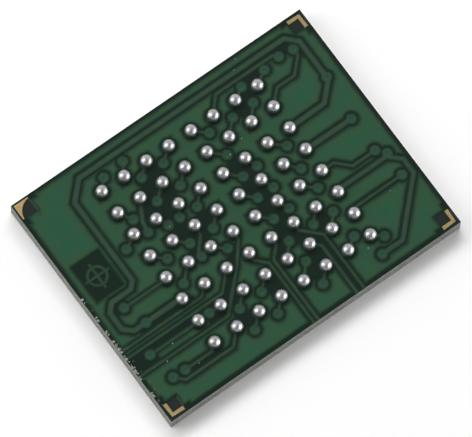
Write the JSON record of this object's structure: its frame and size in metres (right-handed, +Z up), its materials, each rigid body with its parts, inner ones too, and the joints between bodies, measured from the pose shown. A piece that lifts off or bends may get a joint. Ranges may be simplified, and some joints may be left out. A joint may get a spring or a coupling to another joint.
{
  "type": "bga chip",
  "caption": "Rectangular moulded chip package lying cap down, its green laminate facing up with etched traces, gold corner marks and a square grid of solder balls.",
  "frame": {"origin": "middle of the moulded face, which lies on the table at z = 0", "axes": "+X along the package from ball column 1 to column 8, +Y across it towards row A, +Z up through the laminate to the solder balls"},
  "size_m": [0.013, 0.01, 0.0012],
  "materials": {
    "mould_compound": "fine matte epoxy",
    "silicon": "polished",
    "attach_film": "adhesive film",
    "gold_wire": "drawn gold",
    "solder_mask": "semi-gloss green lacquer over copper",
    "gold_plating": "satin gold plating",
    "laminate": "sawn glass and resin",
    "copper": "etched copper",
    "via_plug": "cured plug resin",
    "solder": "bright reflowed solder"
  },
  "bodies": {
    "root": {"mold_cap": "mould_compound", "silicon_die": "silicon", "die_attach_film": "attach_film", "bond_wires": "gold_wire", "die_side_mask": "solder_mask", "bond_fingers": "gold_plating", "laminate_core": "laminate", "via_barrels": "copper", "via_plugs": "via_plug", "ground_pour": "copper", "dog_bone_traces": "copper", "long_traces": "copper", "registration_target": "copper", "ball_side_mask": "solder_mask", "pin_1_mark": "gold_plating", "corner_mark_top_right": "gold_plating", "corner_mark_bottom_left": "gold_plating", "corner_mark_bottom_right": "gold_plating", "solder_balls_row_a": "solder", "solder_balls_row_b": "solder", "solder_balls_row_c": "solder", "solder_balls_row_d": "solder", "solder_balls_row_e": "solder", "solder_balls_row_f": "solder", "solder_balls_row_g": "solder", "solder_balls_row_h": "solder"}
  },
  "joints": []
}
